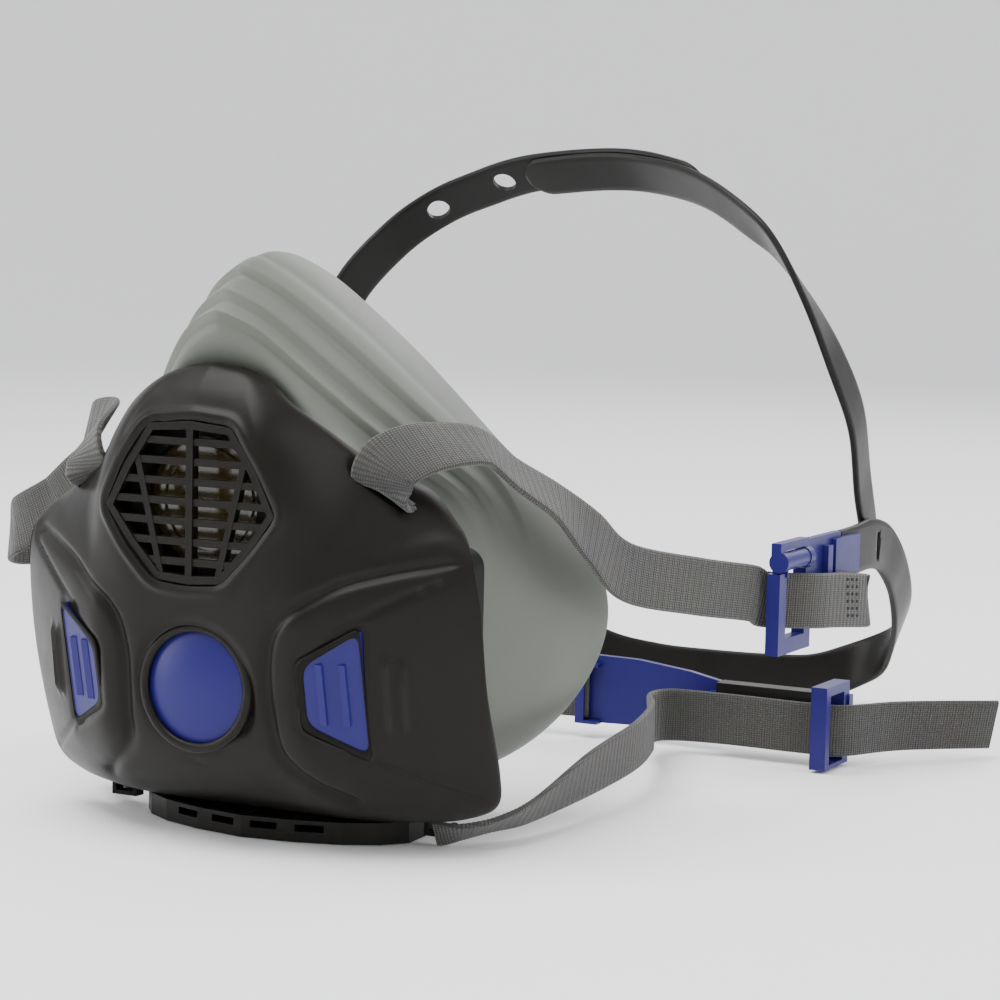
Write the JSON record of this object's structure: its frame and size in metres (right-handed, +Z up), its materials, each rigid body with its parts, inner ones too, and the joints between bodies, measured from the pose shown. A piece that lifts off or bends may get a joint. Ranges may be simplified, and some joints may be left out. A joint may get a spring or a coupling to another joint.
{
  "type": "half-mask respirator",
  "caption": "Half-mask respirator with a dark front shell, voice grille, blue press buttons, grey face seal, head harness and clasped neck strap.",
  "frame": {"origin": "middle of the flat rest under the chin cover, on the plane it stands on", "axes": "+Z up; the front of the mask faces -Y; the wearer's left is +X"},
  "size_m": [0.1927, 0.2457, 0.1473],
  "materials": {
    "shell_black": "satin moulded plastic",
    "inner_black": "fine matt moulded plastic",
    "harness_black": "satin flexible moulded plastic",
    "seal_grey": "soft matt silicone",
    "rubber_black": "matt rubber",
    "film_amber": "thin amber film",
    "blue": "semi-gloss moulded plastic",
    "steel": "spring wire",
    "webbing": "ribbed knitted elastic"
  },
  "bodies": {
    "facepiece": {"front_shell": "shell_black", "inner_body": "inner_black", "face_seal": "seal_grey", "chin_cover": "shell_black", "grille_cover": "shell_black", "diaphragm_gasket": "rubber_black", "diaphragm_film": "film_amber", "diaphragm_ring": "inner_black", "button_sleeve": "inner_black", "exhalation_seat": "seal_grey", "port_ring_left": "inner_black", "port_ring_right": "inner_black", "port_gasket_left": "rubber_black", "port_gasket_right": "rubber_black", "lower_anchors": "inner_black", "seal_check_spring": "steel", "release_spring_left": "steel", "release_spring_right": "steel"},
    "check_button": {"seal_check_button": "blue", "shutoff_disc": "rubber_black"},
    "release_left": {"release_button_left": "blue"},
    "release_right": {"release_button_right": "blue"},
    "inhale_left": {"inhalation_flap_left": "seal_grey"},
    "inhale_right": {"inhalation_flap_right": "seal_grey"},
    "exhale": {"exhalation_flap": "seal_grey"},
    "head_harness": {"upper_elastic_left": "webbing", "upper_elastic_right": "webbing", "crown_strap_left": "harness_black", "crown_strap_right": "harness_black", "rear_band": "harness_black", "buckle_plate_left": "blue", "buckle_plate_right": "blue"},
    "cam_left": {"buckle_frame_left": "blue"},
    "cam_right": {"buckle_frame_right": "blue"},
    "neck_left": {"lower_elastic_left": "webbing", "clasp_plate": "harness_black", "clasp_slider": "blue"},
    "neck_right": {"lower_elastic_right": "webbing", "clasp_hook": "blue"}
  },
  "joints": [
    {"name": "seal_check_press", "type": "slide", "parent": "facepiece", "child": "check_button", "axis": [0, 1, 0], "range_m": [0, 0.004], "stiffness_N_per_m": 400, "springref_m": -0.005, "deforming": ["seal_check_spring"]},
    {"name": "release_press_left", "type": "slide", "parent": "facepiece", "child": "release_left", "axis": [0, 1, 0], "range_m": [0, 0.0025], "stiffness_N_per_m": 500, "springref_m": -0.004, "deforming": ["release_spring_left"]},
    {"name": "release_press_right", "type": "slide", "parent": "facepiece", "child": "release_right", "axis": [0, 1, 0], "range_m": [0, 0.0025], "stiffness_N_per_m": 500, "springref_m": -0.004, "deforming": ["release_spring_right"]},
    {"name": "inhale_lift_left", "type": "slide", "parent": "facepiece", "child": "inhale_left", "axis": [0, 1, 0], "range_m": [0, 0.0015], "stiffness_N_per_m": 20, "springref_m": -0.001},
    {"name": "inhale_lift_right", "type": "slide", "parent": "facepiece", "child": "inhale_right", "axis": [0, 1, 0], "range_m": [0, 0.0015], "stiffness_N_per_m": 20, "springref_m": -0.001},
    {"name": "exhale_lift", "type": "slide", "parent": "facepiece", "child": "exhale", "axis": [0, -1, 0], "range_m": [0, 0.0015], "stiffness_N_per_m": 20, "springref_m": -0.001},
    {"name": "harness_lift", "type": "hinge", "parent": "facepiece", "child": "head_harness", "pos_m": [0, -0.033, 0.077], "axis": [1, 0, 0], "range_deg": [0, 60]},
    {"name": "cam_tilt_left", "type": "hinge", "parent": "head_harness", "child": "cam_left", "pos_m": [0.0755, 0.093, 0.0526], "axis": [0, -1, 0], "range_deg": [0, 5]},
    {"name": "cam_tilt_right", "type": "hinge", "parent": "head_harness", "child": "cam_right", "pos_m": [-0.0755, 0.093, 0.0526], "axis": [0, 1, 0], "range_deg": [0, 5]},
    {"name": "neck_open_left", "type": "hinge", "parent": "facepiece", "child": "neck_left", "pos_m": [0.0415, -0.008, 0], "axis": [0, 0, -1], "range_deg": [0, 25]},
    {"name": "neck_open_right", "type": "hinge", "parent": "facepiece", "child": "neck_right", "pos_m": [-0.0415, -0.008, 0], "axis": [0, 0, 1], "range_deg": [0, 25]}
  ]
}
